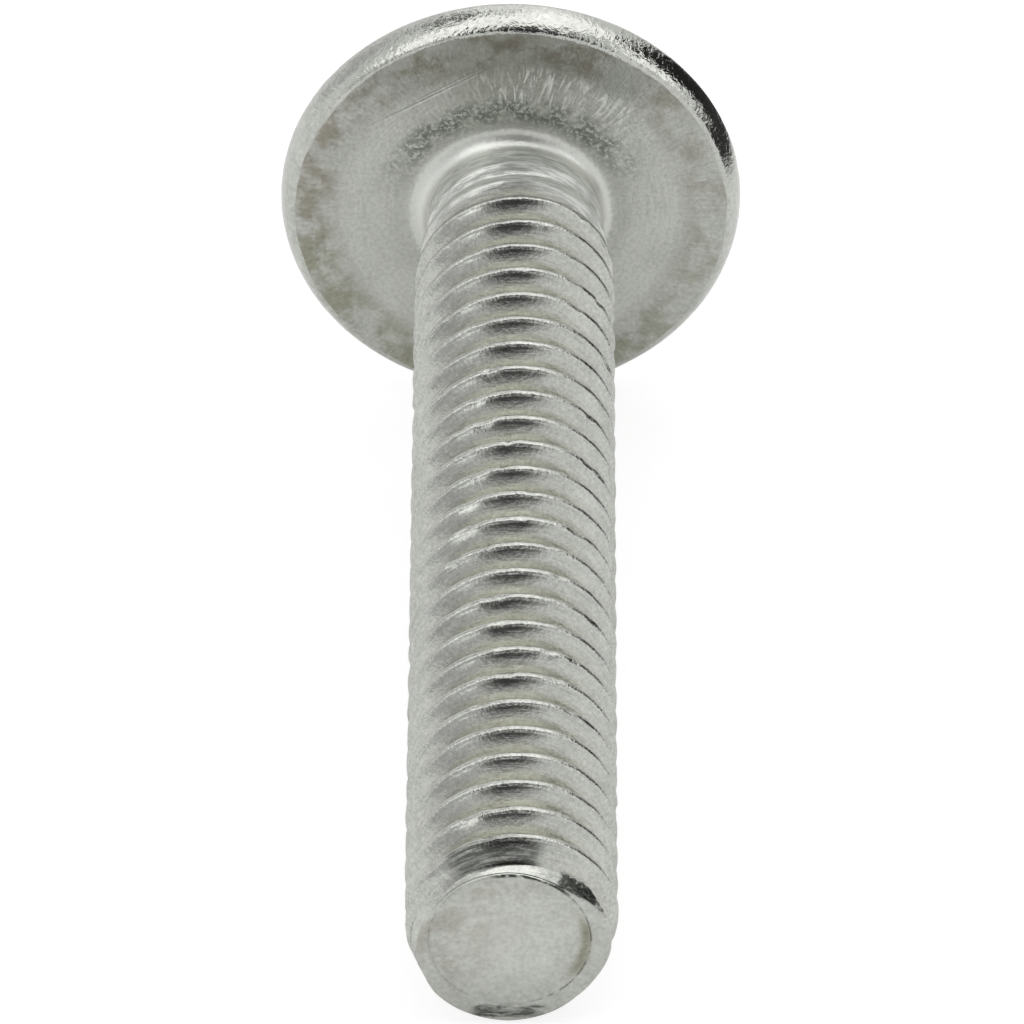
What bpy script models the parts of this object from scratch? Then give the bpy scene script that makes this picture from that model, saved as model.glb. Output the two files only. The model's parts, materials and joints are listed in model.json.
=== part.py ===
"""Truss head machine screw with a 1/4-20 thread, in metres, +Z up.

The screw is one cold-headed and thread-rolled piece of steel. It lies on the floor as it comes to
rest, on the rim of its head and on its last thread, with the tip towards -Y.

It is modelled on its own axis first: +Z from the head to the tip, with Z = 0 on the bearing face
under the head. The screw's local +Y is the side that faces up when it lies.
"""

import math

import bmesh
import bpy

# Head
HEAD_DIAMETER = 0.01419
HEAD_HEIGHT = 0.00370
BEARING_EDGE_RADIUS = 0.00020
RIM_RADIUS = 0.00127
RIM_TURN = math.radians(40)
DOME_EDGE_RADIUS = 0.00035

# Shank
LENGTH = 0.03620
MAJOR_DIAMETER = 0.00622
PITCH = 0.00127
NECK_FILLET = 0.00045
PLAIN_NECK = 0.00110
RUN_OUT = 0.00200
FIRST_FULL_CREST = 0.00349

# Tip
POINT_FLAT_DIAMETER = 0.00474
POINT_ROUNDING = 0.00045

# Cross recess
RECESS_SPAN = 0.00700
RECESS_DEPTH = 0.00320
RECESS_BOTTOM_SPAN = 0.00380
RECESS_SLOT_WIDTH = 0.00125
RECESS_SLOT_BOTTOM_WIDTH = 0.00100
RECESS_CORE_DIAMETER = 0.00310
RECESS_CORE_BOTTOM_DIAMETER = 0.00210
RECESS_POINT = 0.00050

# Facets: sides round the axis, a multiple of 4 so that a flat faces down, and steps in a corner
SIDES = 36
CORNER_STEPS = 3
DOME_STEPS = 5

# Proportions of the unified thread form, as shares of its pitch
PITCH_DIAMETER_DROP = 0.6495
THREAD_DEPTH = 0.6134
CREST_FLAT = 0.125
FLANK_ANGLE = math.radians(30)

# Steel
STEEL_COLOUR = (0.56, 0.57, 0.54, 1.0)
STEEL_ROUGHNESS = 0.32
SHARP_ANGLE = math.radians(28)

# Limits of the arithmetic
WELD = 1e-6
SNAP = 0.02
STEEPEST_TILT = math.radians(60)
HALVINGS = 50

# Sizes that follow from those above
HEAD_RADIUS = HEAD_DIAMETER / 2
CREST_RADIUS = MAJOR_DIAMETER / 2
NECK_RADIUS = CREST_RADIUS - PITCH_DIAMETER_DROP * PITCH / 2
ROOT_RADIUS = CREST_RADIUS - THREAD_DEPTH * PITCH
POINT_RADIUS = POINT_FLAT_DIAMETER / 2
HALF_SIDE = math.pi / SIDES


def clear_scene():
    """Removes what the scene already holds."""
    for item in list(bpy.data.objects):
        bpy.data.objects.remove(item, do_unlink=True)


def new_collection(name):
    """A collection of this name in the scene."""
    collection = bpy.data.collections.new(name)
    bpy.context.scene.collection.children.link(collection)
    return collection


def steel():
    """Plain bright steel."""
    material = bpy.data.materials.new("steel")
    material.use_nodes = True
    shader = material.node_tree.nodes["Principled BSDF"]
    shader.inputs["Base Color"].default_value = STEEL_COLOUR
    shader.inputs["Metallic"].default_value = 1.0
    shader.inputs["Roughness"].default_value = STEEL_ROUGHNESS
    return material


def arc(radius_at, along_at, radius, start, end, steps):
    """Points (out, along) on a circle arc round (radius_at, along_at), from one angle to another."""
    points = []
    for step in range(steps + 1):
        angle = start + (end - start) * step / steps
        points.append((radius_at + radius * math.cos(angle), along_at + radius * math.sin(angle)))
    return points


def head_profile():
    """Half section (out, along) from the dome's apex over the rim and bearing face to the neck."""
    quarter = math.pi / 2

    # The rim is a round of large radius, widest at its far end, that runs into the sharper round of
    # the bearing edge without a kink.
    bulge = RIM_RADIUS - BEARING_EDGE_RADIUS
    widest = -BEARING_EDGE_RADIUS - bulge * math.sin(RIM_TURN)
    bearing_out = HEAD_RADIUS - RIM_RADIUS + bulge * math.cos(RIM_TURN)
    edge_out = HEAD_RADIUS - DOME_EDGE_RADIUS

    # The dome is a sphere that meets the rounded edge without a kink: both centres lie on the line
    # through the meeting point, so the distance between them is the difference of the radii.
    centre_above_edge = HEAD_HEIGHT + widest
    dome_radius = (edge_out**2 + centre_above_edge**2 - DOME_EDGE_RADIUS**2) / (
        2 * (centre_above_edge - DOME_EDGE_RADIUS)
    )
    dome_centre = dome_radius - HEAD_HEIGHT
    meeting = math.atan2(dome_centre - widest, edge_out)

    profile = arc(0.0, dome_centre, dome_radius, -quarter, -meeting, DOME_STEPS)
    profile[0] = (0.0, -HEAD_HEIGHT)
    profile += arc(edge_out, widest, DOME_EDGE_RADIUS, -meeting, 0.0, CORNER_STEPS)[1:]
    profile += arc(HEAD_RADIUS - RIM_RADIUS, widest, RIM_RADIUS, 0.0, RIM_TURN, CORNER_STEPS)[1:]
    profile += arc(
        bearing_out, -BEARING_EDGE_RADIUS, BEARING_EDGE_RADIUS, RIM_TURN, quarter, CORNER_STEPS
    )[1:]
    profile += arc(
        NECK_RADIUS + NECK_FILLET, NECK_FILLET, NECK_FILLET, -quarter, -2 * quarter, CORNER_STEPS
    )
    profile.append((NECK_RADIUS, PLAIN_NECK))
    return profile


def turned(bm, profile):
    """Turns a half section round the axis, with a flat side facing local -Y."""
    verts = []
    for out, along in profile:
        place = (out * math.cos(HALF_SIDE), out * math.sin(HALF_SIDE), along)
        verts.append(bm.verts.new(place))
    edges = [bm.edges.new(pair) for pair in zip(verts, verts[1:])]
    bmesh.ops.spin(
        bm, geom=verts + edges, cent=(0, 0, 0), axis=(0, 0, 1), angle=2 * math.pi, steps=SIDES
    )


def thread_section():
    """One pitch of the thread (out, along), from one crest to the next."""
    crest = CREST_FLAT * PITCH
    flank = THREAD_DEPTH * PITCH * math.tan(FLANK_ANGLE)
    return [
        (CREST_RADIUS, 0.0),
        (CREST_RADIUS, crest),
        (ROOT_RADIUS, crest + flank),
        (ROOT_RADIUS, PITCH - flank),
        (CREST_RADIUS, PITCH),
    ]


def thread_limits(along):
    """Smallest and largest radius that the thread may have at this place on the shank."""
    share = min(max((along - PLAIN_NECK) / RUN_OUT, 0.0), 1.0)
    fade = share * share * (3 - 2 * share)
    lowest = NECK_RADIUS + (ROOT_RADIUS - NECK_RADIUS) * fade
    highest = NECK_RADIUS + (CREST_RADIUS - NECK_RADIUS) * fade
    into_point = (along - (LENGTH - POINT_ROUNDING)) / POINT_ROUNDING
    if into_point > 0:
        rounding = math.sqrt(max(1 - into_point**2, 0.0))
        highest = min(highest, POINT_RADIUS + (CREST_RADIUS - POINT_RADIUS) * rounding)
    return min(lowest, highest), highest


def trimmed(out, along):
    """Where a point of the endless thread lies on the screw, between its neck and its end."""
    if along < PLAIN_NECK + SNAP * PITCH:
        return NECK_RADIUS, PLAIN_NECK
    if along > LENGTH - SNAP * PITCH:
        return POINT_RADIUS, LENGTH
    lowest, highest = thread_limits(along)
    return min(max(out, lowest), highest), along


def threaded_shank(bm):
    """Right-hand thread from the neck to the end face, as one pitch swept along its helix."""
    # The sweep starts half a side past local +X, and local +Y is where the first crest is given.
    turned_before_top = (math.pi / 2 - HALF_SIDE) / (2 * math.pi)
    crest = FIRST_FULL_CREST - PITCH * (turned_before_top + CREST_FLAT / 2)
    start = crest - PITCH * math.ceil((crest - PLAIN_NECK) / PITCH + 1)
    turns = math.ceil((LENGTH - start) / PITCH)
    verts = []
    for out, along in thread_section():
        place = (out * math.cos(HALF_SIDE), out * math.sin(HALF_SIDE), start + along)
        verts.append(bm.verts.new(place))
    edges = [bm.edges.new(pair) for pair in zip(verts, verts[1:])]
    before = set(bm.verts)
    bmesh.ops.spin(
        bm, geom=verts + edges, cent=(0, 0, 0), axis=(0, 0, 1), dvec=(0, 0, PITCH / SIDES),
        angle=2 * math.pi * turns, steps=SIDES * turns,
    )
    swept = verts + [vert for vert in bm.verts if vert not in before]
    for vert in swept:
        out = math.hypot(vert.co.x, vert.co.y)
        new_out, new_along = trimmed(out, vert.co.z)
        vert.co.x *= new_out / out
        vert.co.y *= new_out / out
        vert.co.z = new_along


def screw_mesh():
    """The whole screw on its own axis, before the recess is cut."""
    bm = bmesh.new()
    turned(bm, head_profile())
    threaded_shank(bm)
    bmesh.ops.remove_doubles(bm, verts=bm.verts, dist=WELD)
    end_ring = [edge for edge in bm.edges if edge.is_boundary]
    bmesh.ops.edgeloop_fill(bm, edges=end_ring)
    bmesh.ops.recalc_face_normals(bm, faces=bm.faces)
    mesh = bpy.data.meshes.new("truss_head_screw")
    bm.to_mesh(mesh)
    bm.free()
    mesh.shade_smooth()
    mesh.set_sharp_from_angle(angle=SHARP_ANGLE)
    return mesh


def depth_below_axis(places, tilt):
    """How far the lowest of these places (along, out) is below the head's centre at this tilt."""
    return max(out * math.cos(tilt) + along * math.sin(tilt) for along, out in places)


def resting_pose(mesh):
    """Tilt at which the rim and the thread both touch the floor, and the axis's height there."""
    head = [(vert.co.z, -vert.co.y) for vert in mesh.vertices if vert.co.z <= 0]
    shank = [(vert.co.z, -vert.co.y) for vert in mesh.vertices if vert.co.z > 0]
    level, steep = 0.0, STEEPEST_TILT
    for _ in range(HALVINGS):
        tilt = (level + steep) / 2
        if depth_below_axis(head, tilt) > depth_below_axis(shank, tilt):
            level = tilt
        else:
            steep = tilt
    return tilt, depth_below_axis(head, tilt)


def lay_down(screw):
    """Lays the screw on the floor with its tip towards -Y, centred over the origin."""
    tilt, height = resting_pose(screw.data)
    screw.rotation_euler = (math.pi / 2 + tilt, 0.0, 0.0)
    along_floor = [
        -vert.co.z * math.cos(tilt) - vert.co.y * math.sin(tilt) for vert in screw.data.vertices
    ]
    screw.location = (0.0, -(min(along_floor) + max(along_floor)) / 2, height)


def tapered_bar(name, top_size, bottom_size, top, bottom):
    """A straight bar of the recess: a box that narrows from the head's top to its own bottom."""
    bm = bmesh.new()
    bmesh.ops.create_cube(bm, size=1.0)
    for vert in bm.verts:
        size, along = (bottom_size, bottom) if vert.co.z > 0 else (top_size, top)
        vert.co = (vert.co.x * size[0], vert.co.y * size[1], along)
    mesh = bpy.data.meshes.new(name)
    bm.to_mesh(mesh)
    bm.free()
    return bpy.data.objects.new(name, mesh)


def tapered_core(name, top_radius, bottom_radius, top, bottom, point):
    """The round middle of the recess, with a conical bottom."""
    bm = bmesh.new()
    profile = [(0.0, top), (top_radius, top), (bottom_radius, bottom), (0.0, bottom + point)]
    turned(bm, profile)
    bmesh.ops.remove_doubles(bm, verts=bm.verts, dist=WELD)
    bmesh.ops.recalc_face_normals(bm, faces=bm.faces)
    mesh = bpy.data.meshes.new(name)
    bm.to_mesh(mesh)
    bm.free()
    return bpy.data.objects.new(name, mesh)


def recess_cutters():
    """Two crossing bars and a round core, which start above the dome and keep its tapers."""
    clear = RECESS_DEPTH / 2
    top = -HEAD_HEIGHT - clear
    bottom = -HEAD_HEIGHT + RECESS_DEPTH

    def widened(at_face, at_bottom):
        return at_face + (at_face - at_bottom) * clear / RECESS_DEPTH

    span = widened(RECESS_SPAN, RECESS_BOTTOM_SPAN)
    width = widened(RECESS_SLOT_WIDTH, RECESS_SLOT_BOTTOM_WIDTH)
    core = widened(RECESS_CORE_DIAMETER, RECESS_CORE_BOTTOM_DIAMETER)
    narrow = (RECESS_BOTTOM_SPAN, RECESS_SLOT_BOTTOM_WIDTH)
    return [
        tapered_bar("recess_bar_x", (span, width), narrow, top, bottom),
        tapered_bar("recess_bar_y", (width, span), narrow[::-1], top, bottom),
        tapered_core(
            "recess_core", core / 2, RECESS_CORE_BOTTOM_DIAMETER / 2, top, bottom, RECESS_POINT
        ),
    ]


def cut_recess(screw, cutters):
    """Cuts the cross recess into the top of the head."""
    for cutter in recess_cutters():
        cutters.objects.link(cutter)
        cutter.parent = screw
        cutter.hide_render = True
        cutter.display_type = "WIRE"
        cut = screw.modifiers.new(cutter.name, "BOOLEAN")
        cut.operation = "DIFFERENCE"
        cut.solver = "EXACT"
        cut.object = cutter


def main():
    clear_scene()
    parts = new_collection("truss_head_screw")
    cutters = new_collection("cutters")
    screw = bpy.data.objects.new("truss_head_screw", screw_mesh())
    screw.data.materials.append(steel())
    parts.objects.link(screw)
    lay_down(screw)
    cut_recess(screw, cutters)


main()
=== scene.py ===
"""The truss head screw in bright rolled steel, lying on a pale floor in a soft light tent."""

import json
import math

import bmesh
import bpy
from mathutils import Matrix, Vector, noise


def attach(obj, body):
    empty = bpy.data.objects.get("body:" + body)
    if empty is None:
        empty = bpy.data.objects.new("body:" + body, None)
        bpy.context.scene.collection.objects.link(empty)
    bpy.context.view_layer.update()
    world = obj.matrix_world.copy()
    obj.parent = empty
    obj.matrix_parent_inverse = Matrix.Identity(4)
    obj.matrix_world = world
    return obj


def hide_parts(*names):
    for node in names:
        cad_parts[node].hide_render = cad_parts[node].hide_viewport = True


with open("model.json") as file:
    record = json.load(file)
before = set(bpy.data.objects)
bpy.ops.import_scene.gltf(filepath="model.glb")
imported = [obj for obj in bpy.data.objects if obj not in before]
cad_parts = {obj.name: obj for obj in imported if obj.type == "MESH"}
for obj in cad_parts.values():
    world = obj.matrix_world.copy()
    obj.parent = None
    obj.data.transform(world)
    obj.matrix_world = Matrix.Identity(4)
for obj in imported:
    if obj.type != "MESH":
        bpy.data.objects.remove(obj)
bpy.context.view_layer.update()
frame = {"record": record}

MM = 0.001
MICRON = 1e-6

# Head, in millimetres
HEAD_RADIUS = 7.095
HEAD_HEIGHT = 3.70
BEARING_EDGE_RADIUS = 0.20
RIM_RADIUS = 1.27
RIM_TURN = math.radians(40)
DOME_EDGE_RADIUS = 0.35
DOME_RING = 4.60

# Shank. The two tables are places along it and the radii that crests and roots keep within there
LENGTH = 36.20
CREST_RADIUS = 3.11
PITCH = 1.27
NECK_FILLET = 0.55
FILLET_REACH = 0.57
PLAIN_NECK = 0.56
CREST_RISE = ((0.5, 2.690), (0.95, 2.705), (2.22, 2.87), (3.49, 3.085), (4.8, 3.12))
ROOT_FALL = ((0.5, 2.690), (0.95, 2.68), (1.5, 2.46), (2.3, 2.32))
CREST_ROUNDING = 0.08
ROOT_ROUNDING = 0.05
FIRST_FULL_CREST = 3.49

# Tip. Its outer edge is a table of angles to the right from the top and radii, and its bevel a
# table of shares of the way inward and forward
END_ALONG = 36.12
END_SLOPE = 0.40
END_REACH = 0.38
END_EXTRA_REACH = 0.20
END_FLARE = 3.0
END_EDGE = (
    (0, 2.39), (30, 2.36), (45, 2.42), (52, 2.50), (62, 2.65), (72, 2.79), (85, 2.88), (100, 2.90),
    (120, 2.85), (138, 2.86), (153, 2.93), (180, 3.02), (210, 2.98), (227, 2.93), (240, 2.81),
    (260, 2.73), (280, 2.58), (303, 2.42), (360, 2.39),
)
END_BEVEL = ((0.0, 0.0), (0.04, 0.3), (0.12, 0.5), (0.4, 0.72), (0.7, 0.88), (1.0, 1.0))
FACE_RADIUS = 2.36
FACE_STEP = 0.034
FACE_RINGS = (
    0.985, 0.965, 0.94, 0.91, 0.88, 0.85, 0.81, 0.77, 0.7, 0.58, 0.44, 0.3, 0.16, 0.0,
)
DISH_RADIUS = 1.80
DISH_DEPTH = 0.06

# Lip of the unfinished last thread: how far back it reaches, at angles to the right from the top
LIP_FRONT = 36.14
LIP_SLOPE = 0.466
LIP_RISE = 0.02
LIP_BACK = (
    (-57, 36.12), (-38, 36.04), (-17, 36.02), (-5, 35.96), (10, 35.89), (30, 35.80), (50, 35.72),
    (56, 35.79), (62, 35.91), (74, 36.10),
)
LIP_COLUMNS = 104
LIP_RAGGED = 0.030
LIP_RAGGED_FINE = 0.018
LIP_SUNK = 0.10

# Cross recess
RECESS_SPAN = 6.50
RECESS_BOTTOM_SPAN = 3.80
RECESS_DEPTH = 3.20
RECESS_SLOT = 1.24
RECESS_BOTTOM_SLOT = 1.00
RECESS_CORE_RADIUS = 1.50
RECESS_BOTTOM_CORE_RADIUS = 1.05
RECESS_POINT = 0.50
RECESS_CORNER = 0.14
RECESS_LIP = 0.12

# Thread form: shares of the pitch, and the flank's angle, bow in millimetres and steps
PITCH_RADIUS_DROP = 0.3248
THREAD_DEPTH = 0.6134
CREST_FLAT = 0.125
ROOT_ARC = 0.144
CREST_CORNER = 0.100
FLANK_ANGLE = math.radians(30)
FLANK_BOW = 0.017
FLANK_STEPS = 4

# Sizes that follow
NECK_RADIUS = CREST_RADIUS - PITCH_RADIUS_DROP * PITCH

# Mesh
SIDES = 128
OCTANT = SIDES // 8
TURNS = [2 * math.pi * side / SIDES for side in range(SIDES)]
SNAP = 0.01
WELD = 1e-4
SHARP_ANGLE = math.radians(42)

# Where the rim's finish gives way to the dome's
RIM_FINISH_OUT = 6.2
RIM_FINISH_BACK = -1.9

# How far the shank strays sideways from a straight line, at these places along it
DRIFT = ((0.0, -0.04), (0.6, 0.09), (33.0, -0.02), (35.4, 0.0), (LENGTH, -0.07))

# Wear and unevenness: how far places move to or from the axis, and the rim's inner radius
UNEVENNESS = 0.006
CREST_WEAR = 0.008
CREST_WAVE = 0.016
NICK_DEPTH = 0.05
RIM_BODY = 6.7
RIM_WAVE = 0.010
BEARING_EDGE_WAVE = 0.05
BEARING_EDGE_RIPPLE = 0.03

# Floor: how it glows to the camera and in reflections, and its matte colours
FLOOR_GLOW = 0.82
FLOOR_SHINE = 0.16
FLOOR_LIT = (0.30, 0.30, 0.30, 1)
FLOOR_PALE = (0.80, 0.80, 0.80, 1)
FLOOR_DARK = (0.05, 0.05, 0.05, 1)

# Tent. A strip is the azimuth and elevation of its two ends, its half width and its soft edge,
# and a patch is azimuth, elevation, radius and soft edge, in degrees
TENT_LEVEL = 0.80
BRIGHT_BAND = ((-131, 26), (58, 46), 21, 3)
BAND_STRENGTH = 0.70
FRONT_PATCH = (173, 44, 23, 12)
FRONT_STRIP = ((154, 30), (192, 30), 11, 9)
FRONT_DARKNESS = 0.94
GLOWS = (((5, 44, 18, 4), 0.35), ((104, 27, 12, 3), 0.60), ((-146, 30, 8, 4), 0.30))
GAPS = (
    ((46, 4, 15, 3), 0.97), ((63, 14, 18, 3), 0.97), ((77, 30, 14, 3), 0.97),
    ((-43, 57, 11, 3), 0.75), ((-62, 22, 16, 8), 0.3), ((-140, 11, 22, 12), 0.36),
)

# Camera, as fitted to the photograph
CAMERA_DISTANCE = 0.3991
CAMERA_LENS = 454.6
CAMERA_ELEVATION = math.radians(30.25)
CAMERA_DROP = 0.00922


def arc(out_at, along_at, radius, start, end, steps):
    """Points (out, along) on an arc, from one angle to another."""
    points = []
    for step in range(steps + 1):
        angle = start + (end - start) * step / steps
        points.append((out_at + radius * math.cos(angle), along_at + radius * math.sin(angle)))
    return points


def part_way(start, end, share):
    """Point this share of the way from one point to another."""
    return tuple(a + (b - a) * share for a, b in zip(start, end))


def line(start, end, steps):
    """Points on a straight line, without its first."""
    return [part_way(start, end, step / steps) for step in range(1, steps + 1)]


def smooth(share):
    """Eases a share between 0 and 1."""
    share = min(max(share, 0.0), 1.0)
    return share * share * (3 - 2 * share)


def track(table, at):
    """Value between the rows of a table of places and values."""
    for (low, first), (high, last) in zip(table, table[1:]):
        if at <= high:
            return first + (last - first) * min(max((at - low) / (high - low), 0.0), 1.0)
    return table[-1][1]


def soft_least(one, other, rounding):
    """The lesser of two radii, rounded where they meet."""
    return (one + other - math.hypot(one - other, rounding)) / 2


def sheet(bm, rows):
    """Quads between closed rows of points. Gives back the rows of vertices."""
    made = [[bm.verts.new(point) for point in row] for row in rows]
    for low, high in zip(made, made[1:]):
        for side in range(len(low)):
            after = (side + 1) % len(low)
            bm.faces.new((low[side], low[after], high[after], high[side]))
    return made


def round_point(out, turn, along):
    """Point at this distance from the axis, turn round it and place along it."""
    return out * math.cos(turn), out * math.sin(turn), along


def ring(out, along):
    """One row of points round the axis."""
    return [round_point(out, turn, along) for turn in TURNS]


def turned(bm, profile):
    """Turns a half section round the local Z axis."""
    sheet(bm, [ring(out, along) for out, along in profile])


def rim_widest():
    """Where along the axis the rim is widest."""
    return -BEARING_EDGE_RADIUS - (RIM_RADIUS - BEARING_EDGE_RADIUS) * math.sin(RIM_TURN)


def dome():
    """Radius of the dome and where its centre is along the axis."""
    edge_out = HEAD_RADIUS - DOME_EDGE_RADIUS
    rise = HEAD_HEIGHT + rim_widest()
    radius = (edge_out**2 + rise**2 - DOME_EDGE_RADIUS**2) / (2 * (rise - DOME_EDGE_RADIUS))
    return radius, radius - HEAD_HEIGHT


def dome_along(out):
    """Where the dome's surface is along the axis at this distance from it."""
    radius, centre = dome()
    return centre - math.sqrt(radius**2 - out**2)


def head_profile():
    """Half section from the ring round the recess over the rim and the bearing face to the neck."""
    quarter = math.pi / 2
    widest = rim_widest()
    radius, centre = dome()
    edge_out = HEAD_RADIUS - DOME_EDGE_RADIUS
    meeting = math.atan2(centre - widest, edge_out)
    ring_angle = -math.acos(DOME_RING / radius)
    profile = arc(0.0, centre, radius, ring_angle, -meeting, 10)
    profile += arc(edge_out, widest, DOME_EDGE_RADIUS, -meeting, 0.0, 6)[1:]
    profile += arc(HEAD_RADIUS - RIM_RADIUS, widest, RIM_RADIUS, 0.0, RIM_TURN, 10)[1:]
    bulge = RIM_RADIUS - BEARING_EDGE_RADIUS
    bearing_out = HEAD_RADIUS - RIM_RADIUS + bulge * math.cos(RIM_TURN)
    edge = BEARING_EDGE_RADIUS
    profile += arc(bearing_out, -edge, edge, RIM_TURN, quarter, 5)[1:]
    fillet_out = NECK_RADIUS + FILLET_REACH
    profile += line(profile[-1], (fillet_out, 0.0), 14)
    for step in range(1, 11):
        angle = quarter * step / 10
        out = fillet_out - FILLET_REACH * math.sin(angle)
        profile.append((out, NECK_FILLET * (1 - math.cos(angle))))
    profile.append((NECK_RADIUS, PLAIN_NECK))
    return profile


def recess_outline(span, slot, core, corner):
    """One closed turn of the cross (x, y), from the middle of the wing on local +X."""
    half = slot / 2
    end = span / 2
    octant = [(end, (half - corner) * step / 3) for step in range(3)]
    octant += arc(end - corner, half - corner, corner, 0.0, math.pi / 2, 4)
    meeting = math.asin(half / core)
    octant += line(octant[-1], (core * math.cos(meeting), half), OCTANT - 12)
    octant += arc(0.0, 0.0, core, meeting, math.pi / 4, 5)[1:]
    quadrant = octant + [(y, x) for x, y in octant[-2:0:-1]]
    outline = []
    for x, y in ((1, 0), (0, 1), (-1, 0), (0, -1)):
        outline += [(a * x - b * y, a * y + b * x) for a, b in quadrant]
    return outline


def recess(bm):
    """The cross recess: the dome round it, its rounded lip, tapered walls and conical bottom."""
    mouth = recess_outline(
        RECESS_SPAN + 2 * RECESS_LIP, RECESS_SLOT + 2 * RECESS_LIP,
        RECESS_CORE_RADIUS + RECESS_LIP, RECESS_CORNER + RECESS_LIP,
    )
    wall_top = recess_outline(RECESS_SPAN, RECESS_SLOT, RECESS_CORE_RADIUS, RECESS_CORNER)
    wall_foot = recess_outline(
        RECESS_BOTTOM_SPAN, RECESS_BOTTOM_SLOT, RECESS_BOTTOM_CORE_RADIUS, RECESS_CORNER
    )
    outer = [point[:2] for point in ring(DOME_RING, 0.0)]
    rows = []

    def add_row(start, end, share, drop):
        """Row on the dome, or this far under it, part way between two outlines."""
        places = [part_way(a, b, share) for a, b in zip(start, end)]
        rows.append([(x, y, dome_along(math.hypot(x, y)) + drop) for x, y in places])

    for step in range(8):
        add_row(outer, mouth, step / 7, 0.0)
    for step in range(1, 5):
        angle = math.pi / 2 * step / 4
        add_row(mouth, wall_top, math.sin(angle), RECESS_LIP * (1 - math.cos(angle)))
    foot_along = RECESS_DEPTH - HEAD_HEIGHT
    top_row = rows[-1]
    for step in range(1, 8):
        rows.append([
            part_way(top, (*foot, foot_along), step / 7) for top, foot in zip(top_row, wall_foot)
        ])
    for share in (0.8, 0.55, 0.35, 0.18, 0.0):
        row = []
        for x, y in wall_foot:
            out = math.hypot(x, y) * share
            cone = max(1 - out / RECESS_BOTTOM_CORE_RADIUS, 0.0)
            row.append((x * share, y * share, foot_along + RECESS_POINT * cone))
        rows.append(row)
    sheet(bm, rows)


def half_thread():
    """Points (along, depth) from the middle of a crest to the middle of a root."""
    corner = CREST_CORNER * PITCH
    lean = math.pi / 2 - FLANK_ANGLE
    flat_end = CREST_FLAT * PITCH / 2 - corner * math.tan(lean / 2)
    points = [(0.0, 0.0)]
    for step in range(4):
        angle = lean * step / 3
        points.append((flat_end + corner * math.sin(angle), corner * (1 - math.cos(angle))))
    root = ROOT_ARC * PITCH
    root_centre = THREAD_DEPTH * PITCH - root
    root_arc = []
    for step in range(3):
        angle = lean * (1 - step / 2)
        root_arc.append((PITCH / 2 - root * math.sin(angle), root_centre + root * math.cos(angle)))
    for step, (along, depth) in enumerate(line(points[-1], root_arc[0], FLANK_STEPS), 1):
        share = step / FLANK_STEPS
        bow = 4 * FLANK_BOW * share * (1 - share)
        points.append((along + bow * math.cos(FLANK_ANGLE), depth - bow * math.sin(FLANK_ANGLE)))
    return points + root_arc[1:]


def thread_section():
    """One pitch of the thread (out, along), from the middle of one crest to the next."""
    half = half_thread()
    section = [(CREST_RADIUS - depth, along) for along, depth in half]
    section += [(CREST_RADIUS - depth, PITCH - along) for along, depth in half[-2:0:-1]]
    return section


def end_edge(turn):
    """Radius of the outer edge of the end, for a turn from the local X axis."""
    return track(END_EDGE, (90 - math.degrees(turn)) % 360)


def trimmed(out, along, turn):
    """Where a point of the endless thread lies on the screw, between its neck and its end."""
    edge = end_edge(turn)
    if along < PLAIN_NECK + SNAP * PITCH:
        return NECK_RADIUS, PLAIN_NECK
    if along > END_ALONG - SNAP * PITCH:
        return edge, END_ALONG
    out = soft_least(out, track(CREST_RISE, along), CREST_ROUNDING)
    out = -soft_least(-out, -track(ROOT_FALL, along), ROOT_ROUNDING)
    left = END_ALONG - along
    reach = END_REACH + END_EXTRA_REACH * smooth((edge - FACE_RADIUS - 0.06) / 0.25)
    taper = edge + END_SLOPE * left + END_FLARE * max(left - reach, 0.0)
    return max(min(out, taper), edge - left), along


def threaded_shank(bm):
    """Right-hand thread from the neck to the end, as one pitch swept along its helix."""
    section = thread_section()
    rows = len(section)
    crest = FIRST_FULL_CREST - PITCH / 4
    start = crest - PITCH * math.ceil((crest - PLAIN_NECK) / PITCH + 1)
    columns = SIDES * math.ceil((END_ALONG - start) / PITCH)
    made = {}

    def vert(column, row):
        if row == rows:
            column, row = column + SIDES, 0
        if (column, row) not in made:
            out, along = section[row]
            turn = 2 * math.pi * column / SIDES
            out, along = trimmed(out, start + PITCH * column / SIDES + along, turn)
            made[column, row] = bm.verts.new(round_point(out, turn, along))
        return made[column, row]

    for column in range(columns):
        for row in range(rows):
            corners = [(column, row), (column + 1, row), (column + 1, row + 1), (column, row + 1)]
            bm.faces.new([vert(*corner) for corner in corners])


def last_lip(bm):
    """The lip that the unfinished last thread leaves over the top and right of the end."""
    rows = []
    first, last = LIP_BACK[0][0], LIP_BACK[-1][0]
    for column in range(LIP_COLUMNS + 1):
        angle = first + (last - first) * column / LIP_COLUMNS
        turn = math.radians(90 - angle)
        edge = end_edge(turn)
        ragged = LIP_RAGGED * noise.noise(Vector((angle * 0.11, 0.0, 3.0)))
        ragged += LIP_RAGGED_FINE * noise.noise(Vector((angle * 0.35, 7.0, 3.0)))
        back = min(track(LIP_BACK, angle) + ragged, LIP_FRONT - 0.02)
        low = edge + LIP_RISE
        high = low + LIP_SLOPE * (LIP_FRONT - back)
        loop = [(edge - LIP_SUNK, LIP_FRONT - 0.02), (low, LIP_FRONT)]
        loop += line((low, LIP_FRONT), (high, back + 0.01), 4)
        loop += [(high - 0.012, back - 0.01), (edge - LIP_SUNK, back - 0.015)]
        rows.append([round_point(out, turn, along) for out, along in loop])
    made = sheet(bm, rows)
    bm.faces.new(made[0])
    bm.faces.new(made[-1][::-1])


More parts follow.
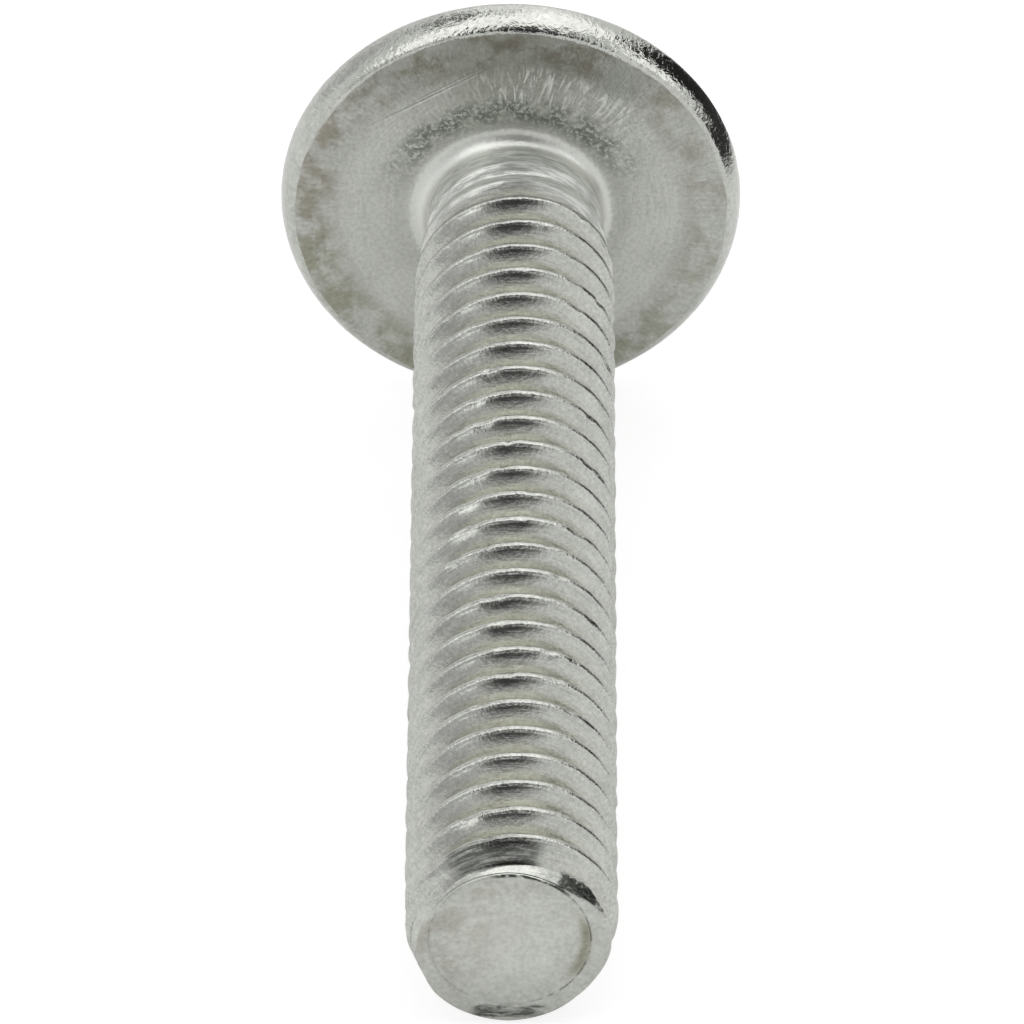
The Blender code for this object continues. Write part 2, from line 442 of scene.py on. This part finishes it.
def end_face(bm):
    """The end of the point: a bevel from its outer edge to a face that is dished towards its right."""
    rows = []
    for inward, rise in END_BEVEL:
        along = END_ALONG + (LENGTH - END_ALONG) * rise
        row = []
        for turn in TURNS:
            edge = end_edge(turn)
            row.append(round_point(edge + (FACE_RADIUS - edge) * inward, turn, along))
        rows.append(row)
    for share in FACE_RINGS:
        row = []
        out = FACE_RADIUS * share
        for x, y, along in ring(out, LENGTH):
            rightward = 0.25 + 0.75 * max(x, 0.0) / max(out, 1e-6)
            sunk = DISH_DEPTH * rightward * smooth((FACE_RADIUS - out) / (FACE_RADIUS - DISH_RADIUS))
            step = FACE_STEP * rightward * smooth((1 - share) / 0.03)
            row.append((x, y, along - sunk - step))
        rows.append(row)
    sheet(bm, rows)


def worn(place):
    """A place on the perfect screw, moved as rolling and handling have left it."""
    out = math.hypot(place.x, place.y)
    if out < 1e-6:
        return place.copy()
    moved = UNEVENNESS * noise.noise(place * 0.9)
    if place.z > PLAIN_NECK:
        crest = smooth((out - 2.95) / 0.12) * smooth((place.z - 1.5) / 1.0)
        moved -= crest * (CREST_WEAR + CREST_WAVE * noise.noise(place * 3.1))
        nick = noise.noise(place * 1.9 + Vector((5.0, 1.0, 8.0)))
        moved -= crest * NICK_DEPTH * smooth((nick - 0.30) / 0.25)
    elif out > RIM_BODY:
        moved += RIM_WAVE * noise.noise(place * 2.3)
    elif place.z > -0.6:
        edge = smooth((out - 5.4) / 0.5)
        moved += edge * BEARING_EDGE_WAVE * noise.noise(place * 0.8)
        moved += edge * BEARING_EDGE_RIPPLE * noise.noise(place * 2.7)
    return Vector((place.x * (1 + moved / out), place.y * (1 + moved / out), place.z))


def screw_pose():
    """Matrix from the screw's own axis to the floor, read from the frame's bearing face."""
    mount = next(m for m in frame["record"]["mounts"] if m["name"] == "bearing_face")
    along = Vector(mount["axis"]).normalized()
    across = Vector((1, 0, 0))
    up = along.cross(across)
    centre = Vector((0.0, mount["pos_m"][1], mount["pos_m"][2]))
    turn = Matrix((across, up, along)).transposed().to_4x4()
    return Matrix.Translation(centre) @ turn


def region(place):
    """Which of the steel finishes a place on the perfect screw has."""
    out = math.hypot(place.x, place.y)
    if place.z > END_ALONG - 0.03 and out < end_edge(math.atan2(place.y, place.x)) - 0.01:
        return "end"
    if place.z > PLAIN_NECK:
        return "thread"
    if place.z > -1e-4:
        return "face"
    return "rim" if out > RIM_FINISH_OUT and place.z > RIM_FINISH_BACK else "dome"


def screw_piece(finishes):
    """The whole screw as one mesh, laid on the floor, with its own coordinates kept as place."""
    bm = bmesh.new()
    turned(bm, head_profile())
    recess(bm)
    threaded_shank(bm)
    last_lip(bm)
    end_face(bm)
    bmesh.ops.remove_doubles(bm, verts=bm.verts, dist=WELD)
    bmesh.ops.recalc_face_normals(bm, faces=bm.faces)
    names = list(finishes)
    for face in bm.faces:
        face.material_index = names.index(region(face.calc_center_median()))
    mesh = bpy.data.meshes.new("screw")
    bm.to_mesh(mesh)
    bm.free()
    mesh.shade_smooth()
    mesh.set_sharp_from_angle(angle=SHARP_ANGLE)
    places = [vert.co.copy() for vert in mesh.vertices]
    kept = mesh.attributes.new("place", "FLOAT_VECTOR", "POINT")
    kept.data.foreach_set("vector", [value for place in places for value in place])
    pose = screw_pose()
    laid = []
    for place in places:
        spot = worn(place) + Vector((track(DRIFT, place.z), 0.0, 0.0))
        laid.append(pose @ (spot * MM))
    lowest = min(spot.z for spot in laid)
    for vert, spot in zip(mesh.vertices, laid):
        vert.co = spot - Vector((0.0, 0.0, lowest))
    for material in finishes.values():
        mesh.materials.append(material)
    piece = bpy.data.objects.new("screw", mesh)
    bpy.context.scene.collection.objects.link(piece)
    return piece


class Graph:
    """Short names for adding nodes to a node tree."""

    def __init__(self, tree):
        self.tree = tree

    def add(self, kind, **settings):
        node = self.tree.nodes.new(kind)
        for key, value in settings.items():
            setattr(node, key, value)
        return node

    def feed(self, socket, value):
        if isinstance(value, bpy.types.NodeSocket):
            self.tree.links.new(value, socket)
        else:
            socket.default_value = value

    def math(self, operation, *values):
        node = self.add("ShaderNodeMath", operation=operation)
        for socket, value in zip(node.inputs, values):
            self.feed(socket, value)
        return node.outputs[0]

    def total(self, *values):
        """Sum of several values."""
        result = values[0]
        for value in values[1:]:
            result = self.math("ADD", result, value)
        return result

    def times(self, *values):
        """Product of several values."""
        result = values[0]
        for value in values[1:]:
            result = self.math("MULTIPLY", result, value)
        return result

    def ease(self, value, low, high, to_low=0.0, to_high=1.0):
        """Smooth step from one value to another."""
        node = self.add("ShaderNodeMapRange", interpolation_type="SMOOTHSTEP")
        for socket, item in (
            ("Value", value), ("From Min", low), ("From Max", high), ("To Min", to_low),
            ("To Max", to_high),
        ):
            self.feed(node.inputs[socket], item)
        return node.outputs["Result"]

    def between(self, value, low, high, soft):
        """1 inside a range and 0 outside, with soft edges."""
        rising = self.ease(value, low - soft, low + soft)
        falling = self.ease(value, high - soft, high + soft, 1.0, 0.0)
        return self.times(rising, falling)

    def vector(self, x, y, z):
        node = self.add("ShaderNodeCombineXYZ")
        for socket, value in zip(node.inputs, (x, y, z)):
            self.feed(socket, value)
        return node.outputs[0]

    def split(self, vector):
        node = self.add("ShaderNodeSeparateXYZ")
        self.feed(node.inputs[0], vector)
        return list(node.outputs)

    def blend(self, share, low, high, kind="MIX"):
        """Mixes two colours."""
        node = self.add("ShaderNodeMix", data_type="RGBA", blend_type=kind)
        for index, value in ((0, share), (6, low), (7, high)):
            self.feed(node.inputs[index], value)
        return node.outputs[2]

    def noise(self, vector, scale, detail=2.0, roughness=0.5, distortion=0.0, w=None):
        node = self.add("ShaderNodeTexNoise", noise_dimensions="3D" if w is None else "4D")
        self.feed(node.inputs["Vector"], vector)
        if w is not None:
            self.feed(node.inputs["W"], w)
        node.inputs["Scale"].default_value = scale
        node.inputs["Detail"].default_value = detail
        node.inputs["Roughness"].default_value = roughness
        node.inputs["Distortion"].default_value = distortion
        return node.outputs[0]


class Steel(Graph):
    """A steel material, with the screw's own coordinates in millimetres at hand."""

    def __init__(self, name):
        self.material = bpy.data.materials.new(name)
        self.material.use_nodes = True
        super().__init__(self.material.node_tree)
        self.shader = self.tree.nodes["Principled BSDF"]
        self.shader.inputs["Metallic"].default_value = 1.0
        self.place = self.add("ShaderNodeAttribute", attribute_name="place").outputs["Vector"]
        self.across, self.up, self.along = self.split(self.place)
        squares = self.total(self.times(self.across, self.across), self.times(self.up, self.up))
        self.out = self.math("SQRT", squares)
        self.sine = self.math("DIVIDE", self.across, self.out)
        self.cosine = self.math("DIVIDE", self.up, self.out)

    def round_streaks(self, length, width, detail=2.0):
        """Noise drawn out round the axis, this long and wide in millimetres."""
        turn = CREST_RADIUS / length
        x = self.times(self.sine, turn)
        y = self.times(self.cosine, turn)
        z = self.times(self.along, 1 / width)
        return self.noise(self.vector(x, y, z), 1.0, detail, w=self.times(self.out, 1 / width))

    def radial_streaks(self, length, width, detail=2.0, distortion=0.0):
        """Noise drawn out away from the axis, this long and wide in millimetres at mid face."""
        turn = 4.8 / width
        x = self.times(self.sine, turn)
        y = self.times(self.cosine, turn)
        spread = self.vector(x, y, self.times(self.out, 1 / length))
        return self.noise(spread, 1.0, detail, distortion=distortion)

    def finish(self, colour, roughness, height):
        """Feeds the shader; height is in microns."""
        self.feed(self.shader.inputs["Base Color"], colour)
        self.feed(self.shader.inputs["Roughness"], roughness)
        bump = self.add("ShaderNodeBump")
        bump.inputs["Strength"].default_value = 1.0
        bump.inputs["Distance"].default_value = MICRON
        self.feed(bump.inputs["Height"], height)
        self.feed(self.shader.inputs["Normal"], bump.outputs[0])
        return self.material


DARK_STEEL = (0.455, 0.464, 0.430, 1)
PALE_STEEL = (0.700, 0.713, 0.668, 1)
BROWN_STAIN = (0.62, 0.57, 0.51, 1)
OLIVE_STAIN = (0.60, 0.59, 0.49, 1)
GREY_STAIN = (0.62, 0.64, 0.62, 1)
# Painted tan reflection and shade for the thread roots
TAN_ROOT_REFLECTION = (0.72, 0.69, 0.60, 1)
SCALE_STAIN = (0.42, 0.44, 0.42, 1)
# Near black, for painted shade and dark reflections at the tip, and for the dark streaks at the bottom
# of the end
NEAR_BLACK = (0.12, 0.13, 0.12, 1)
# Pale steel for the flow marks, and also a painted sheen on the neck and the fillet
BRIGHT_STEEL_AND_SHEEN = (0.90, 0.91, 0.87, 1)


def painted_tip_reflections(steel):
    """Painted dark reflections: on the lip where the last thread turns to the right, and in a patch on
    its flank.
    """
    top = steel.ease(steel.up, 0.0, 0.3)
    ragged = steel.total(steel.noise(steel.place, 5.0, 3.0, 0.6), -0.5)
    painted_lip_dark = steel.times(
        steel.ease(steel.total(steel.along, steel.times(ragged, 0.22)), 35.74, 35.80), top,
        steel.between(steel.total(steel.sine, steel.times(ragged, 0.35)), 0.58, 0.92, 0.04),
        steel.ease(steel.noise(steel.place, 8.0, 2.0), 0.30, 0.44, 0.35, 1.0),
    )
    streaked = steel.ease(steel.round_streaks(0.8, 0.07, 3.0), 0.35, 0.55, 0.45, 1.0)
    flank_dark_reflection = steel.times(
        steel.between(steel.total(steel.along, steel.times(ragged, 0.2)), 35.34, 35.90, 0.12),
        steel.between(steel.total(steel.sine, steel.times(ragged, 0.15)), -0.60, 0.30, 0.10),
        top, streaked,
    )
    return painted_lip_dark, flank_dark_reflection


def thread_steel():
    """Rolled thread: fine lines round the axis, scuffed crests and drawn streaks on the neck, with
    painted tan reflection and shade in the roots, a painted sheen that makes the neck paler, and
    painted dark reflections at the tip.
    """
    steel = Steel("thread_steel")
    brushed = steel.round_streaks(1.2, 0.040)
    broad = steel.round_streaks(3.0, 0.22)
    grain = steel.noise(steel.place, 9.0, 3.0, 0.6)
    cloud = steel.noise(steel.place, 0.8, 3.0)
    crest = steel.ease(steel.out, 2.96, 3.07)
    scuff = steel.noise(steel.place, 13.0, 2.0, 0.6)
    root = steel.times(
        steel.ease(steel.out, 2.50, 2.85, 1.0, 0.0), steel.between(steel.along, 2.5, 35.4, 0.3)
    )
    share = steel.total(
        steel.times(brushed, 1.2), steel.times(grain, 1.8), steel.times(cloud, 0.7), -1.35
    )
    colour = steel.blend(share, DARK_STEEL, PALE_STEEL)
    # Painted tan reflection and shade: the roots are darkened and warmed where the flanks mirror each
    # other
    colour = steel.blend(steel.times(root, 0.6), colour, TAN_ROOT_REFLECTION, "MULTIPLY")
    neck = steel.ease(steel.along, 2.0, 3.3, 1.0, 0.0)
    steel.feed(steel.shader.inputs["Metallic"], steel.ease(steel.along, 2.0, 3.3, 0.60, 1.0))
    painted_lip_dark, flank_dark_reflection = painted_tip_reflections(steel)
    drawn = steel.ease(steel.round_streaks(0.6, 0.055, 3.0), 0.42, 0.60)
    # Painted sheen: the neck is made paler, standing in for the light it mirrors
    colour = steel.blend(steel.times(neck, 0.9), colour, BRIGHT_STEEL_AND_SHEEN)
    colour = steel.blend(steel.times(neck, drawn, 0.65), colour, SCALE_STAIN, "MULTIPLY")
    # Painted dark reflections at the tip, on the lip and on the last flank
    colour = steel.blend(steel.times(painted_lip_dark, 0.95), colour, NEAR_BLACK, "MULTIPLY")
    colour = steel.blend(steel.times(flank_dark_reflection, 0.80), colour, NEAR_BLACK, "MULTIPLY")
    roughness = steel.total(
        steel.times(broad, 0.10), steel.times(cloud, 0.08), steel.times(neck, 0.18), 0.075
    )
    height = steel.total(
        steel.times(brushed, 2.0), steel.times(brushed, neck, 10.0), steel.times(broad, 1.2),
        steel.times(grain, 7.0), steel.times(crest, scuff, 26.0),
    )
    return steel.finish(colour, roughness, height)


def flow_marks(steel, flat):
    """Pale radial marks on the bearing face, over the neck and to the right of it."""
    return steel.times(
        steel.ease(steel.radial_streaks(0.9, 0.20, 4.0, 1.6), 0.47, 0.64),
        steel.between(steel.out, 4.10, 5.35, 0.3), flat, steel.ease(steel.up, 2.2, 3.8),
        steel.ease(steel.sine, -0.40, 0.05, 0.25, 1.0),
        steel.ease(steel.noise(steel.place, 1.1, 2.0), 0.30, 0.52, 0.40, 1.0),
    )


def dark_flecks(steel, flat):
    """Dark flecks on the bearing face, close round the top of the fillet."""
    flecks = steel.ease(steel.noise(steel.place, 7.0, 4.0, 0.70, 0.5), 0.48, 0.60, 1.0, 0.0)
    return steel.times(
        steel.between(steel.out, 3.42, 4.25, 0.25), flat, steel.ease(steel.up, 0.8, 2.6), flecks,
        steel.ease(steel.noise(steel.place, 1.6, 2.0), 0.34, 0.56, 0.30, 1.0),
    )


def double_scratch(steel, flat):
    """Two straight scratches side by side, at the upper left of the bearing face."""
    offset = steel.total(steel.up, steel.times(steel.across, -0.585), -5.76)
    first = steel.between(offset, -0.030, 0.030, 0.05)
    second = steel.between(offset, 0.095, 0.130, 0.05)
    second = steel.times(second, steel.ease(steel.across, -3.2, -2.6))
    reach = steel.between(steel.across, -3.9, -1.3, 1.0)
    return steel.times(steel.total(first, second), reach, flat)


def face_steel():
    """Bearing face and fillet: pressed matte steel, stained towards its edge, with its marks, and a
    painted sheen on the fillet.
    """
    steel = Steel("face_steel")
    grain = steel.noise(steel.place, 7.0, 3.0, 0.65)
    cloud = steel.noise(steel.place, 0.7, 3.0)
    flat = steel.ease(steel.along, 0.002, 0.04, 1.0, 0.0)
    flow = flow_marks(steel, flat)
    flecks = dark_flecks(steel, flat)
    scratch = double_scratch(steel, flat)
    fibres = steel.radial_streaks(0.7, 0.080, 3.0, 0.8)
    curls = steel.round_streaks(0.7, 0.09, 3.0)
    curls = steel.times(curls, steel.between(steel.out, 3.7, 5.2, 0.3), flat)
    outer = steel.times(steel.ease(steel.out, 5.0, 6.0), flat)
    patches = steel.ease(steel.noise(steel.place, 0.75, 4.0, 0.62), 0.42, 0.60)
    lower = steel.ease(steel.up, -2.5, 1.5, 1.0, 0.0)
    share = steel.total(
        steel.times(grain, 1.6), steel.times(cloud, 0.9), steel.times(outer, fibres, 1.0),
        steel.times(outer, -0.55), steel.times(flat, -0.56), steel.times(curls, 0.5),
        steel.ease(steel.up, 3.6, 5.4, -0.20, -0.65),
    )
    colour = steel.blend(share, DARK_STEEL, PALE_STEEL)
    stained = steel.times(outer, patches, steel.ease(steel.sine, 0.4, 1.0, 0.90, 0.55))
    tone = steel.blend(lower, BROWN_STAIN, OLIVE_STAIN)
    colour = steel.blend(stained, colour, tone, "MULTIPLY")
    colour = steel.blend(flecks, colour, SCALE_STAIN, "MULTIPLY")
    colour = steel.blend(steel.times(scratch, 0.7), colour, GREY_STAIN, "MULTIPLY")
    colour = steel.blend(steel.times(flow, 0.95), colour, BRIGHT_STEEL_AND_SHEEN)
    # Painted sheen: the fillet and the foot of the neck are made paler, standing in for their bright
    # reflection
    colour = steel.blend(steel.ease(steel.along, 0.04, 0.25, 0.0, 0.6), colour, BRIGHT_STEEL_AND_SHEEN)
    roughness = steel.total(
        steel.times(cloud, 0.10), steel.times(flecks, 0.06), steel.times(flow, 0.12),
        steel.ease(steel.along, 0.003, 0.08, 0.28, 0.32),
    )
    height = steel.total(
        steel.times(grain, 15.0), steel.times(flow, 4.0), steel.times(flecks, 2.0),
        steel.times(outer, fibres, 6.0), steel.times(scratch, -18.0), steel.times(curls, 8.0),
        steel.times(steel.round_streaks(2.5, 0.10), 4.0),
    )
    return steel.finish(colour, roughness, height)


def rim_steel():
    """Rim: hammered and speckled, as it left the heading die."""
    steel = Steel("rim_steel")
    speckle = steel.noise(steel.place, 6.5, 2.0, 0.5, 0.5)
    fine = steel.noise(steel.place, 18.0, 2.0)
    cloud = steel.noise(steel.place, 0.8, 3.0)
    share = steel.total(steel.times(speckle, 1.4), steel.times(cloud, 0.6), -0.5)
    colour = steel.blend(share, DARK_STEEL, PALE_STEEL)
    roughness = steel.total(steel.times(cloud, 0.06), steel.times(fine, 0.05), 0.03)
    hammered = steel.ease(steel.up, 0.5, 3.8, 8.0, 27.0)
    height = steel.total(steel.times(speckle, hammered), steel.times(fine, 2.0))
    return steel.finish(colour, roughness, height)


def dome_steel():
    """Dome and recess: smooth die-pressed steel with faint rings and handling marks."""
    steel = Steel("dome_steel")
    grain = steel.noise(steel.place, 8.0, 3.0, 0.6)
    cloud = steel.noise(steel.place, 0.6, 4.0, 0.6)
    rings = steel.noise(steel.vector(steel.out, 0.0, 0.0), 6.0, 3.0)
    marks = steel.ease(steel.noise(steel.place, 1.7, 2.0, 0.5, 2.5), 0.60, 0.66)
    share = steel.total(steel.times(grain, 1.0), steel.times(cloud, 0.9), -0.5)
    colour = steel.blend(share, DARK_STEEL, PALE_STEEL)
    colour = steel.blend(steel.times(marks, 0.5), colour, GREY_STAIN, "MULTIPLY")
    roughness = steel.total(steel.times(cloud, 0.24), steel.times(marks, 0.08), 0.10)
    height = steel.total(
        steel.times(grain, 6.0), steel.times(rings, 6.0), steel.times(marks, -4.0)
    )
    return steel.finish(colour, roughness, height)


def edge_painted_shade(steel, patchy):
    """Painted shade: a dark line round the end face, wider in the crease under the lip at the top."""
    edge_shade = steel.times(
        steel.between(steel.out, 2.31, 2.345, 0.03), steel.ease(patchy, 0.38, 0.52),
        steel.ease(steel.sine, 0.2, 0.5, 0.3, 0.9),
    )
    painted_lip_dark = steel.times(
        steel.between(steel.out, 2.27, 2.39, 0.03), steel.ease(patchy, 0.34, 0.46),
        steel.between(steel.sine, -0.20, 0.72, 0.08), steel.ease(steel.up, 0.0, 0.5),
    )
    return steel.math("MAXIMUM", edge_shade, painted_lip_dark)


def bottom_dark_streaks(steel, patchy):
    """Dark streaks across the bottom of the end, drawn out sideways."""
    smeared = steel.vector(steel.times(steel.across, 1.6), steel.times(steel.up, 5.0), 0.0)
    blotch = steel.noise(smeared, 1.0, 5.0, 0.70, 0.5)
    blotch = steel.total(blotch, steel.ease(steel.across, -1.0, 0.2, 0.14, 0.0))
    return steel.times(
        steel.between(steel.total(steel.up, steel.times(patchy, 0.25)), -2.72, -2.26, 0.06),
        steel.between(steel.across, -1.05, 1.0, 0.2),
        steel.ease(blotch, 0.36, 0.66),
    )


def end_steel():
    """End face: sheared and pressed flat, mottled and matte, brown at the left, olive at the right."""
    steel = Steel("end_steel")
    grain = steel.noise(steel.place, 7.0, 3.0, 0.65)
    cloud = steel.noise(steel.place, 1.2, 4.0, 0.6)
    middle = steel.ease(steel.out, 0.9, 2.3, 1.0, 0.0)
    patchy = steel.noise(steel.place, 3.0, 3.0, 0.6)
    edge_shade = edge_painted_shade(steel, patchy)
    dark_streaks = bottom_dark_streaks(steel, patchy)
    brown = steel.times(
        steel.ease(steel.noise(steel.place, 1.0, 3.0, 0.6), 0.42, 0.60),
        steel.ease(steel.total(steel.across, steel.times(steel.up, -0.6)), -1.5, 0.5, 1.0, 0.0),
    )
    olive = steel.times(
        steel.between(steel.out, 2.05, 2.32, 0.12), steel.ease(steel.across, 1.1, 1.7),
        steel.between(steel.up, -1.3, 0.7, 0.4),
    )
    share = steel.total(
        steel.times(grain, 1.6), steel.times(cloud, 1.0), steel.times(middle, 0.35), -0.88
    )
    colour = steel.blend(share, DARK_STEEL, PALE_STEEL)
    colour = steel.blend(steel.times(brown, 0.4), colour, BROWN_STAIN, "MULTIPLY")
    colour = steel.blend(steel.times(olive, 0.95), colour, OLIVE_STAIN, "MULTIPLY")
    # Painted shade round the edge of the end face and under the lip
    colour = steel.blend(edge_shade, colour, NEAR_BLACK, "MULTIPLY")
    colour = steel.blend(steel.times(dark_streaks, 0.9), colour, NEAR_BLACK, "MULTIPLY")
    roughness = steel.total(steel.times(cloud, 0.12), steel.times(grain, 0.06), 0.24)
    height = steel.total(
        steel.times(grain, 14.0), steel.times(cloud, 24.0), steel.times(dark_streaks, 10.0)
    )
    return steel.finish(colour, roughness, height)


def floor():
    """Plain pale floor: white to the camera, with a light shadow under the screw.

    Other rays meet a matte floor with a dark patch on it, behind the head and to its right.
    """
    bpy.ops.mesh.primitive_plane_add(size=4.0, location=(0, 0, 0))
    ground = bpy.context.object
    ground.name = "floor"
    material = bpy.data.materials.new("floor")
    material.use_nodes = True
    graph = Graph(material.node_tree)
    graph.tree.nodes.remove(graph.tree.nodes["Principled BSDF"])
    output = graph.tree.nodes["Material Output"]
    rays = graph.add("ShaderNodeLightPath")

    lit = graph.add("ShaderNodeBsdfDiffuse")
    lit.inputs["Color"].default_value = FLOOR_LIT
    glow = graph.add("ShaderNodeEmission")
    glow.inputs["Strength"].default_value = FLOOR_GLOW
    seen = graph.add("ShaderNodeAddShader")
    graph.feed(seen.inputs[0], lit.outputs[0])
    graph.feed(seen.inputs[1], glow.outputs[0])

    x, y, _ = graph.split(graph.add("ShaderNodeTexCoord").outputs["Object"])
    behind = graph.math("SUBTRACT", y, 0.016)
    turn = graph.math("ARCTAN2", x, behind)
    far = graph.math("SQRT", graph.total(graph.times(x, x), graph.times(behind, behind)))
    shade = graph.times(
        graph.between(turn, math.radians(22), math.radians(104), math.radians(8)),
        graph.ease(far, 0.024, 0.036),
    )
    bounced = graph.add("ShaderNodeBsdfDiffuse")
    colour = graph.blend(shade, FLOOR_PALE, FLOOR_DARK)
    graph.feed(bounced.inputs["Color"], colour)
    shine = graph.add("ShaderNodeEmission")
    lifted = graph.times(rays.outputs["Is Glossy Ray"], FLOOR_SHINE)
    graph.feed(shine.inputs["Strength"], graph.times(lifted, graph.math("SUBTRACT", 1.0, shade)))
    mirrored = graph.add("ShaderNodeAddShader")
    graph.feed(mirrored.inputs[0], bounced.outputs[0])
    graph.feed(mirrored.inputs[1], shine.outputs[0])

    both = graph.add("ShaderNodeMixShader")
    graph.feed(both.inputs[0], rays.outputs["Is Camera Ray"])
    graph.feed(both.inputs[1], mirrored.outputs[0])
    graph.feed(both.inputs[2], seen.outputs[0])
    graph.feed(output.inputs["Surface"], both.outputs[0])
    ground.data.materials.append(material)


def aim(azimuth, elevation):
    """Unit vector, with the azimuth in degrees from straight behind (+Y), positive to the right."""
    turn, rise = math.radians(azimuth), math.radians(elevation)
    return Vector((
        math.sin(turn) * math.cos(rise), math.cos(turn) * math.cos(rise), math.sin(rise)
    ))


def tent():
    """The light tent: white all round, a brighter band from the left over the back, dark gaps."""
    world = bpy.data.worlds.new("tent")
    bpy.context.scene.world = world
    world.use_nodes = True
    graph = Graph(world.node_tree)
    background = world.node_tree.nodes["Background"]
    direction = graph.add("ShaderNodeTexCoord").outputs["Generated"]

    def nearness(towards):
        node = graph.add("ShaderNodeVectorMath", operation="DOT_PRODUCT")
        graph.feed(node.inputs[0], direction)
        node.inputs[1].default_value = towards
        return node.outputs["Value"]

    def spot(azimuth, elevation, radius, soft):
        """Round patch of the tent, with its radius and soft edge in degrees."""
        outer = math.cos(math.radians(radius + soft))
        inner = math.cos(math.radians(radius - soft))
        return graph.ease(nearness(aim(azimuth, elevation)), outer, inner)

    def strip(start, end, half_width, soft):
        """Straight patch of the tent, inside the round patch with both its ends on the edge."""
        start, end = aim(*start), aim(*end)
        across = start.cross(end).normalized()
        middle = (start + end).normalized()
        off = graph.math("ABSOLUTE", nearness(across))
        low = math.sin(math.radians(half_width - soft))
        high = math.sin(math.radians(half_width + soft))
        cap = math.cos(start.angle(end) / 2 + math.radians(soft))
        cap_inner = math.cos(start.angle(end) / 2 - math.radians(soft))
        ends = graph.ease(nearness(middle), cap, cap_inner)
        return graph.times(graph.ease(off, low, high, 1.0, 0.0), ends)

    light = graph.times(strip(*BRIGHT_BAND), BAND_STRENGTH)
    for patch, share in GLOWS:
        light = graph.total(light, graph.times(spot(*patch), share))
    light = graph.total(light, TENT_LEVEL)
    front_gap = graph.math("MAXIMUM", spot(*FRONT_PATCH), strip(*FRONT_STRIP))
    dark = graph.times(front_gap, FRONT_DARKNESS)
    for patch, share in GAPS:
        dark = graph.math("MAXIMUM", dark, graph.times(spot(*patch), share))
    strength = graph.times(light, graph.math("SUBTRACT", 1.0, dark))
    seen = graph.add("ShaderNodeLightPath").outputs["Is Camera Ray"]
    shown = graph.total(strength, graph.times(seen, graph.math("SUBTRACT", 1.0, strength)))
    graph.feed(background.inputs["Strength"], shown)
    background.inputs["Color"].default_value = (1, 1, 1, 1)


def camera():
    """The camera at the photograph's angle and distance."""
    head_centre = screw_pose().translation
    back = Vector((0, -math.cos(CAMERA_ELEVATION), math.sin(CAMERA_ELEVATION)))
    up = Vector((0, math.sin(CAMERA_ELEVATION), math.cos(CAMERA_ELEVATION)))
    data = bpy.data.cameras.new("camera")
    data.lens = CAMERA_LENS
    data.sensor_width = 36.0
    data.clip_start = 0.01
    data.clip_end = 10.0
    eye = bpy.data.objects.new("camera", data)
    eye.location = head_centre - up * CAMERA_DROP + back * CAMERA_DISTANCE
    eye.rotation_mode = "QUATERNION"
    eye.rotation_quaternion = (-back).to_track_quat("-Z", "Y")
    bpy.context.scene.collection.objects.link(eye)
    bpy.context.scene.camera = eye


def main():
    bpy.context.scene.view_settings.view_transform = "Standard"
    camera()
    tent()
    floor()
    finishes = {
        "thread": thread_steel(), "face": face_steel(), "rim": rim_steel(), "dome": dome_steel(),
        "end": end_steel(),
    }
    screw = screw_piece(finishes)
    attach(screw, "root")
    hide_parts("truss_head_screw")
    print("triangles", sum(len(p.vertices) - 2 for p in screw.data.polygons))


main()
